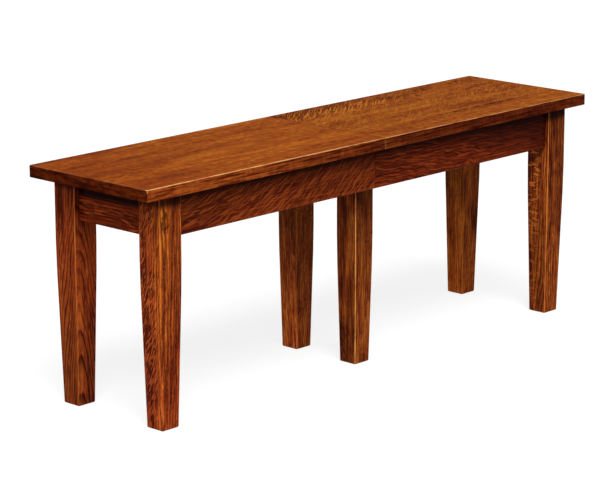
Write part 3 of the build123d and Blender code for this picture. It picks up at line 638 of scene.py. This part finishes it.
def finish_bare(node, seed, order, turn):
    """Unstained, sanded and waxed wood: its figure alone, along the board, which may lie askew."""
    material, tree, shader = new_material("bare " + node.replace("_", " "))
    where = object_place(tree)
    if turn:
        where = put(tree, "ShaderNodeVectorRotate", {"Vector": where, "Angle": math.radians(turn)},
                    rotation_type="Z_AXIS").outputs[0]
    own = parts_of(tree, where)
    board = vector(tree, *(own[axis] for axis in ORDERS[order]))
    oak = use(tree, OAK, {"Vector": board, "Seed": seed, "Rings": 0.35, "Ring Spacing": 0.0032,
                          "Heart": 0.3, "Wander": 0.02, "Pores": 0.22, "Streaks": 0.7, "Lines": 0.6,
                          "Mottle": 0.25, "Flakes": 0.3, "Flake Width": 0.003, "Flake Length": 0.02,
                          "Rim": 0.2, **stained(BARE)})
    join(tree, shader, {"Base Color": oak["Color"], "Specular IOR Level": 0.15,
                        "Roughness": line(tree, oak["Polish"], -0.08, 0.55),
                        "Normal": embossed(tree, oak["Height"], 0.08)})
    return material


bare = {}
for order, turn, nodes in inner:
    for node in nodes:
        bare[node] = finish_bare(node, FIRST_SEED + NEXT_SEED * len(bare), order, turn)
        if "pegs" not in node:
            dress(node, bare[node])


# Metal
def metal_skin():
    """Turning rings are a sine of the distance from the piece's own axis; dull clouds and rubbed
    spots are noise."""
    tree, given, out = group("metal skin", {
        "Vector": NIL, "Bright": (0.5, 0.5, 0.5, 1.0), "Dull": (0.3, 0.3, 0.3, 1.0), "Rough": 0.35,
        "Turning": 1.0}, ("Color", "Roughness", "Height"))
    across = parts_of(tree, given["Vector"])
    far = length_of(tree, vector(tree, across[0], across[1]))
    rings = maths(tree, "SINE", times(tree, far, 2 * math.pi / (0.22 * MM)))
    mist = cloud(tree, given["Vector"], (260.0, 260.0, 260.0), 4.0, 0.6)
    grit = cloud(tree, given["Vector"], (2600.0, 2600.0, 2600.0), 2.0, 0.6)
    dulled = step(tree, mist, 0.42, 0.66)
    rough = line(tree, dulled, 0.16, given["Rough"])
    join(tree, out, {"Color": blend(tree, dulled, given["Bright"], given["Dull"]),
                     "Roughness": line(tree, less(tree, grit, 0.5), 0.2, rough),
                     "Height": line(tree, grit, 0.8, times(tree, rings, given["Turning"]))})
    return tree


METAL = metal_skin()
ZINC = {"Bright": (0.56, 0.565, 0.555), "Dull": (0.4, 0.4, 0.385), "Rough": 0.34}
YELLOW = {"Bright": (0.7, 0.48, 0.18), "Dull": (0.44, 0.29, 0.11), "Rough": 0.28}


def metal(name, look, turning):
    """A metal finish; pieces turned here carry their own place, the others use the frame's."""
    material, tree, shader = new_material(name)
    if turning:
        where = put(tree, "ShaderNodeAttribute", attribute_name="own place").outputs["Vector"]
    else:
        where = object_place(tree)
    skin = use(tree, METAL, {"Vector": where, "Turning": turning, **look})
    join(tree, shader, {"Base Color": skin["Color"], "Roughness": skin["Roughness"], "Metallic": 1.0,
                        "Normal": embossed(tree, skin["Height"], 0.012)})
    return material


plated = metal("turned zinc plated steel", ZINC, 1.0)
turned_brass = metal("turned brass", YELLOW, 1.0)
for kind, look, nodes in (("zinc plate", ZINC, ("left_racks", "right_racks", "latch_arm")),
                          ("brass", YELLOW, ("front_pinion", "back_pinion"))):
    for node in nodes:
        dress(node, metal(kind + " of the " + node.replace("_", " "), look, 0.0))


# Hardware, as surfaces worked out with arrays
# Each shape stands on its own Z axis, with the seat of its head or face at nil and the head above.
# An outline is a list of (radius, height) that keeps the metal on its left.
TURN = 2 * math.pi
# The directions in which the axis of a turned solid may lie
STANCES = np.array([(1, 0, 0), (0, 1, 0), (0, 0, 1), (1, 1, 0), (1, -1, 0)], float)
STANCES /= np.linalg.norm(STANCES, axis=1)[:, None]
# Pitch and depth of the thread of the bolts, and the pitches of the screws
BOLT_PITCH, BOLT_DEPTH = 1.25 * MM, 0.62 * MM
LARGE_PITCH, SMALL_PITCH = 2.2 * MM, 1.4 * MM
BOLT_RADIUS = 4 * MM
# Heights of the heads above their seats
LARGE_HEAD, SMALL_HEAD, PIVOT_HEAD = 2.4 * MM, 1.5 * MM, 2.5 * MM
DOME_HEIGHT, KNOB_HEIGHT = 4.5 * MM, 9 * MM
# A crease sharper than this many degrees stays sharp
CREASE = 34


def solids_of(node):
    """The corners of each separate solid of a node, found by following its edges."""
    mesh = frame["nodes"][node].data
    places = np.empty(3 * len(mesh.vertices), np.float32)
    mesh.vertices.foreach_get("co", places)
    points, which = np.unique(places.reshape(-1, 3).round(5), axis=0, return_inverse=True)
    ends = np.empty(2 * len(mesh.edges), np.int32)
    mesh.edges.foreach_get("vertices", ends)
    pairs = which.reshape(-1)[ends].reshape(-1, 2)
    label = np.arange(len(points))
    before = label - 1
    while (label != before).any():
        before = label.copy()
        least = label[pairs].min(1)
        np.minimum.at(label, pairs[:, 0], least)
        np.minimum.at(label, pairs[:, 1], least)
    return [points[label == one].astype(float) for one in np.unique(label)]


def stance(points, flat):
    """How a turned solid stands: the middle of its box, its length, and its own X, Y and Z, where X
    points to its furthest corner and Z along its axis, towards its wider end."""
    middle = (points.min(0) + points.max(0)) / 2
    along = (points - middle) @ STANCES.T
    reach = np.ptp(along, axis=0)
    choice = reach.argmin() if flat else reach.argmax()
    axis = STANCES[choice]
    out = points - middle - along[:, [choice]] * axis
    width = np.linalg.norm(out, axis=1)
    if along[width > 0.9 * width.max(), choice].mean() < 0:
        axis = -axis
    corner = out[width.argmax()] / width.max()
    return middle, reach[choice], np.stack([corner, np.cross(axis, corner), axis])


def grid(rows, columns, ring=False):
    """Quads of a grid whose columns close on themselves; with ring, its rows do too."""
    row, column = np.meshgrid(np.arange(rows if ring else rows - 1), np.arange(columns), indexing="ij")
    below, above = row * columns, (row + 1) % rows * columns
    after = (column + 1) % columns
    return np.stack([below + column, below + after, above + after, above + column], -1).reshape(-1, 4)


def turned(outline, angles=32, ring=False, change=None):
    """A turned skin: (r cos t, r sin t, z) for each outline point. change(r, z, t) gives new radii,
    so that threads and hexagons use the same grid."""
    outline = np.array(outline, float)
    t = np.arange(angles) * TURN / angles if isinstance(angles, int) else angles
    r, z, t = np.broadcast_arrays(outline[:, :1], outline[:, 1:], t[None, :])
    if change:
        r = change(r, z, t)
    points = np.stack([r * np.cos(t), r * np.sin(t), z], -1).reshape(-1, 3)
    return points, grid(len(outline), t.shape[1], ring)


def ridges(r, z, t, pitch, depth, low, high):
    """A thread: the radius less a saw-tooth of depth that climbs one pitch each turn, between low
    and high."""
    phase = np.abs(2 * ((z / pitch - t / TURN) % 1.0) - 1)
    fade_in = np.clip((z - low) / pitch, 0, 1) * np.clip((high - z) / pitch, 0, 1)
    return np.where(r > 0, r - depth * phase * fade_in, 0.0)


def rod(low, high, radius, ease, pitch=BOLT_PITCH, depth=BOLT_DEPTH, runs=(), angles=24):
    """A closed rod with eased ends and threaded runs; six rows of points for each turn of thread."""
    outline = [(0, low), (radius - ease, low), (radius, low + ease)]
    for start, end in runs:
        count = int((end - start) / pitch * 6)
        outline += [(radius, z) for z in np.linspace(start, end, count)[1:-1]]
    outline += [(radius, high - ease), (radius - ease, high), (0, high)]

    def change(r, z, t):
        for start, end in runs:
            r = ridges(r, z, t, pitch, depth, start, end)
        return r
    return turned(outline, angles, change=change)


def crossed_head(radius, height):
    """A pan head with a cross recess. The top is a square grid pressed into a disc by
    x = u sqrt(1 - v v / 2), y = v sqrt(1 - u u / 2), and the recess is the larger of two arms,
    each a clipped ramp in u times one in v."""
    steps = np.array([0.0, 0.09, 0.17, 0.36, 0.6, 0.8, 1.0])
    steps = np.concatenate([-steps[:0:-1], steps])
    u, v = np.meshgrid(steps, steps, indexing="ij")
    top = 0.86 * radius
    x, y = top * u * np.sqrt(1 - v * v / 2), top * v * np.sqrt(1 - u * u / 2)
    wide = [np.clip((0.17 - np.abs(w)) / 0.08, 0, 1) for w in (u, v)]
    long = [np.clip((0.6 - np.abs(w)) / 0.24, 0, 1) for w in (u, v)]
    recess = np.maximum(wide[0] * long[1], wide[1] * long[0])
    z = height * (1 - 0.22 * (x * x + y * y) / top**2 - 0.62 * recess)
    count = len(steps)
    last = count - 1
    corner = (np.arange(last)[:, None] * count + np.arange(last)[None, :]).reshape(-1)
    disc = np.stack([corner, corner + count, corner + count + 1, corner + 1], 1)
    up, down = np.arange(last), np.arange(last, 0, -1)
    first, end = np.zeros(last, int), np.full(last, last)
    around = ((end, up), (down, end), (first, down), (up, first))
    border = np.concatenate([np.stack(run, 1) for run in around])
    angles = np.arctan2(y[border[:, 0], border[:, 1]], x[border[:, 0], border[:, 1]])
    side = turned([(0, 0), (0.97 * radius, 0), (radius, 0.05 * height), (radius, 0.5 * height),
                   (0.95 * radius, 0.7 * height), (top, 0.78 * height)], angles)
    return [(np.stack([x, y, z], -1).reshape(-1, 3), disc), side]


def wood_screw(length, radius, head_radius, head_height, point, pitch=LARGE_PITCH):
    """Pan head, plain neck and a tapering thread down to the point. length is the shank's."""
    neck, into_head = -0.38 * length, 0.3 * head_height
    rows = np.arange(-length, neck, pitch / 6)[1:]
    outline = [(0, -length)] + [(radius * min(1.0, 0.06 + (z + length) / point), z) for z in rows]
    outline += [(0.86 * radius, -0.36 * length), (0.86 * radius, into_head), (0, into_head)]
    shank = turned(outline, 16, change=lambda r, z, t: ridges(
        r, z, t, pitch, 0.3 * r, -length - pitch, neck))
    return crossed_head(head_radius, head_height) + [shank]


def pivot_screw(length, head_radius, head_height):
    """A shoulder screw: the plain shoulder carries the arm and the thread sits in the top."""
    shank = rod(-length, 0.3 * head_height, radius=2.5 * MM, ease=0.5 * MM, pitch=1.6 * MM,
                depth=0.5 * MM, runs=[(-length + MM, -length + 11 * MM)], angles=20)
    return crossed_head(head_radius, head_height) + [shank]


def carriage_bolt(length):
    """A low domed head, an arc of a sphere, on a shank whose last 30 mm are threaded."""
    radius, height, ease = 9 * MM, DOME_HEIGHT, 0.6 * MM
    ball = (radius**2 + height**2) / (2 * height)
    tilt = np.linspace(math.asin(radius * 0.985 / ball), 0, 9)
    dome = [(ball * math.sin(a), ball * math.cos(a) - ball + height) for a in tilt]
    head = turned([(0, 0), (0.94 * radius, 0), (radius * 0.99, 0.1 * MM)] + dome, 40)
    return [head, rod(-length, MM, BOLT_RADIUS, ease, runs=[(-length + ease, -length + 30 * MM)])]


def hanger_bolt(length):
    """Threaded at both ends, for the nut above and for the leg below; counted from its middle."""
    half, ease = length / 2, 0.8 * MM
    return [rod(-half, half, BOLT_RADIUS, ease,
                runs=[(-half + ease, -half + 0.38 * length), (half - 22 * MM, half - ease)])]


def hexagon_nut(height):
    """Flats 13 mm apart, cut at both ends by a cone of 30 degrees. A flat's radius is its distance
    over the cosine of the angle from its middle."""
    flat, bore, face, wide = 6.5 * MM, BOLT_RADIUS, 6.1 * MM, 8 * MM
    drop = np.linspace(0, 0.85 * MM, 6)
    up = [(bore + 0.5 * MM, 0), (face, 0)] + [(wide, z) for z in drop[1:]] + [(wide, height / 2)]
    inside = [(bore, height - 0.6 * MM), (bore, 0.6 * MM)]

    def change(r, z, t):
        hexagon = flat / np.cos(t % (math.pi / 3) - math.pi / 6)
        cone = face + np.minimum(z, height - z) / math.tan(math.pi / 6)
        return np.where(r == wide, np.minimum(hexagon, cone), r)
    outline = up + [(r, height - z) for r, z in reversed(up[:-1])] + inside
    return [turned(outline, 48, ring=True, change=change)]


def washer(height):
    """A punched ring: rounded by a quarter circle on the upper side, sharper on the lower."""
    inside, outside, soft, burr = 4.2 * MM, 8.5 * MM, 0.35 * MM, 0.1 * MM
    outline = [(inside, burr), (inside + burr, 0), (outside - burr, 0), (outside, burr)]
    outline += [(outside - soft + soft * math.cos(a), height - soft + soft * math.sin(a))
                for a in np.linspace(0, math.pi / 2, 5)]
    outline += [(inside + 0.15 * MM, height), (inside, height - 0.15 * MM)]
    return [turned(outline, 40, ring=True)]


def turned_knob(length):
    """A flange, a waist that eases out as a cosine, and a ball cut flat; the catch pin stands below."""
    pin = length - KNOB_HEIGHT
    millimetres = [(2.25, 0), (4.5, 0), (4.8, 0.3), (4.8, 0.9), (4.5, 1.2)]
    for share in np.linspace(0, 1, 7)[1:]:
        millimetres.append((3.2 + 0.5 + 0.5 * math.cos(math.pi * share), 1.2 + 1.5 * share))
    for angle in np.linspace(-1.05, 1.25, 15):
        millimetres.append((6.0 * math.cos(angle) ** 0.85, 5.85 + 3.05 * math.sin(angle)))
    outline = [(0, -pin), (1.9 * MM, -pin), (2.25 * MM, -pin + 0.35 * MM)]
    outline += [(r * MM, z * MM) for r, z in millimetres]
    return [turned(outline + [(1.2 * MM, KNOB_HEIGHT), (0, KNOB_HEIGHT)], 40)]


def keeper(length):
    """A turned stud, eased at its free end, bored for its screw and counterbored for the head."""
    bore, counterbore, sunk = 1.5 * MM, 3.0 * MM, 1.5 * MM
    outline = [(bore, 0), (4.8 * MM, 0), (5.0 * MM, 0.2 * MM), (5.0 * MM, 9.3 * MM),
               (4.85 * MM, 9.75 * MM), (4.4 * MM, length), (counterbore + 0.15 * MM, length),
               (counterbore, length - 0.15 * MM), (counterbore, length - sunk), (bore, length - sunk)]
    return [turned(outline, 40, ring=True)]


def add_object(name, data):
    """A new object in the scene."""
    thing = bpy.data.objects.new(name, data)
    SCENE.collection.objects.link(thing)
    return thing


def build(node, shape, from_middle=lambda length: 0.0, flat=False, material=plated):
    """Puts one shape at each solid of a node, and lets the result stand for the node.
    shape(length) gives the skins for a solid that long; from_middle(length) says how far along the
    axis its nil lies from the middle of the solid. A whole matrix of places is one product."""
    corners, faces, own, total = [], [], [], 0
    for solid in solids_of(node):
        middle, length, axes = stance(solid, flat)
        skins = shape(length)
        points = np.concatenate([skin[0] for skin in skins])
        starts = np.cumsum([0] + [len(skin[0]) for skin in skins[:-1]])
        quads = np.concatenate([skin[1] + start for skin, start in zip(skins, starts)])
        kept, which = np.unique(points.round(8), axis=0, return_inverse=True)
        quads = which.reshape(-1)[quads] + total
        corners.append(kept @ axes + middle + from_middle(length) * axes[2])
        own.append(kept)
        faces += [tuple(dict.fromkeys(quad)) for quad in quads.tolist()]
        total += len(kept)
    mesh = bpy.data.meshes.new(node + "_skin")
    mesh.from_pydata(np.concatenate(corners).tolist(), [], [face for face in faces if len(face) > 2])
    mesh.polygons.foreach_set("use_smooth", np.ones(len(mesh.polygons), bool))
    mesh.set_sharp_from_angle(angle=math.radians(CREASE))
    place = mesh.attributes.new("own place", "FLOAT_VECTOR", "POINT")
    place.data.foreach_set("vector", np.concatenate(own).ravel())
    mesh.materials.append(material)
    thing = add_object(node + "_detailed", mesh)
    source = frame["nodes"][node]
    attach(thing, body_of(source)[0])
    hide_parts(node)


def headed(shape, height, **sizes):
    """What build needs for a shape with a head: the shape, whose length is less the head, and how
    far its seat is from the middle."""
    return (lambda length: shape(length - height, **sizes)), (lambda length: length / 2 - height)


large = headed(wood_screw, LARGE_HEAD, radius=2.25 * MM, head_radius=4 * MM, head_height=LARGE_HEAD,
               point=4 * MM)
small = headed(wood_screw, SMALL_HEAD, radius=1.5 * MM, head_radius=3 * MM, head_height=SMALL_HEAD,
               point=2 * MM, pitch=SMALL_PITCH)
for node in ("left_apron_screws", "right_apron_screws", "left_runner_screws", "right_runner_screws",
             "left_brace_screws", "right_brace_screws", "rail_screws"):
    build(node, *large)
for node in ("latch_base_screws", "latch_keeper_screw"):
    build(node, *small)
build("latch_pivot_screw", *headed(pivot_screw, PIVOT_HEAD, head_radius=4.5 * MM, head_height=PIVOT_HEAD))
build("leg_bolts", *headed(carriage_bolt, DOME_HEIGHT))
for node in ("left_hanger_bolts", "right_hanger_bolts"):
    build(node, hanger_bolt)
for shape, nodes in ((hexagon_nut, ("left_brace_nuts", "right_brace_nuts", "leg_bolt_nuts")),
                     (washer, ("left_brace_washers", "right_brace_washers", "leg_bolt_washers"))):
    for node in nodes:
        build(node, shape, lambda length: -length / 2, flat=True)
build("pinion_axles", lambda length: [rod(-length / 2, length / 2, 3 * MM, 0.5 * MM)])
build("latch_knob", turned_knob, lambda length: length / 2 - KNOB_HEIGHT, material=turned_brass)
build("latch_keeper_stud", keeper, lambda length: -length / 2, material=turned_brass)
for node in ("left_stop_pegs", "right_stop_pegs"):
    build(node, lambda length: [rod(-length / 2, length / 2, 5 * MM, 0.8 * MM)], material=bare[node])


# Stage: the floor's half size, its own grey and its glow, and the light from all round
FLOOR_HALF = 30.0
FLOOR_GREY = (0.25, 0.25, 0.25)
FLOOR_GLOW = 0.8
SKY_LIGHT = 0.42
# The way to the lamp, its strength, and how many degrees wide it is
KEY_WAY, KEY_STRENGTH, KEY_WIDTH = (-0.33, -0.45, 0.83), 2.6, 30.0
# The photograph's eye: turn, tilt and roll in degrees, its place, and its focal length in pixels
EYE_ANGLES = (46.6195, 13.9519, -0.1109)
EYE_PLACE = (-3.711707, -3.439643, 1.467867)
FOCAL_PIXELS = 2653.946
PICTURE_PIXELS = 600.0
SENSOR_WIDTH = 36.0


def seen(tree):
    """One for rays that see a thing, nil for rays that only light it."""
    path = put(tree, "ShaderNodeLightPath").outputs
    looks = plus(tree, path["Is Camera Ray"], path["Is Glossy Ray"])
    return maths(tree, "ADD", looks, path["Is Transmission Ray"], clamp=True)


def turn_to(thing, side, up, back, at):
    """Sets a lamp or camera down with its own X, Y and Z."""
    rows = np.stack([side, up, back], 1).tolist()
    thing.matrix_world = Matrix([[*row, end] for row, end in zip(rows, at)] + [[0.0, 0.0, 0.0, 1.0]])


def stage():
    """A pale floor that stays white round the bench and keeps its shadow."""
    floor = bpy.data.meshes.new("floor")
    corners = [(x * FLOOR_HALF, y * FLOOR_HALF, 0.0) for x, y in ((-1, -1), (1, -1), (1, 1), (-1, 1))]
    floor.from_pydata(corners, [], [(0, 1, 2, 3)])
    material, tree, shader = new_material("pale floor")
    join(tree, shader, {"Base Color": FLOOR_GREY, "Roughness": 0.9, "Specular IOR Level": 0.0})
    strength = times(tree, seen(tree), FLOOR_GLOW)
    glow = put(tree, "ShaderNodeEmission", {"Color": (1.0, 1.0, 1.0), "Strength": strength})
    both = put(tree, "ShaderNodeAddShader", {0: shader.outputs[0], 1: glow.outputs[0]})
    join(tree, tree.nodes["Material Output"], {"Surface": both.outputs[0]})
    floor.materials.append(material)
    add_object("floor", floor)


def sky():
    """Soft light from all round, seen as white behind the bench and in its sheen."""
    world = bpy.data.worlds.new("studio")
    SCENE.world = world
    world.use_nodes = True
    tree = world.node_tree
    level = put(tree, "ShaderNodeMapRange", {0: seen(tree), 3: SKY_LIGHT, 4: 1.0}).outputs[0]
    join(tree, tree.nodes["Background"], {"Color": (1.0, 1.0, 1.0), "Strength": level})


def lamp(name, towards, strength, width):
    """A broad far lamp; towards is the direction in which it stands."""
    data = bpy.data.lights.new(name, "SUN")
    data.energy = strength
    data.angle = math.radians(width)
    back = np.array(towards) / np.linalg.norm(towards)
    side = np.cross((0.0, 1.0, 0.0), back)
    side = side / np.linalg.norm(side)
    turn_to(add_object(name, data), side, np.cross(back, side), back, NIL)


def camera():
    """The photograph's eye: a long lens at the front left, a little above the seat."""
    yaw, pitch, roll = (math.radians(angle) for angle in EYE_ANGLES)
    ahead = np.array([math.sin(yaw) * math.cos(pitch), math.cos(yaw) * math.cos(pitch), -math.sin(pitch)])
    right = np.array([math.cos(yaw), -math.sin(yaw), 0.0])
    up = np.cross(right, ahead)
    tilted = math.cos(roll) * right + math.sin(roll) * up
    above = -math.sin(roll) * right + math.cos(roll) * up
    data = bpy.data.cameras.new("camera")
    data.sensor_width = SENSOR_WIDTH
    data.lens = FOCAL_PIXELS * SENSOR_WIDTH / PICTURE_PIXELS
    data.clip_end = 200.0
    thing = add_object("camera", data)
    turn_to(thing, tilted, above, -ahead, EYE_PLACE)
    SCENE.camera = thing


stage()
sky()
lamp("key", KEY_WAY, KEY_STRENGTH, KEY_WIDTH)
camera()
SCENE.view_settings.view_transform = "Standard"
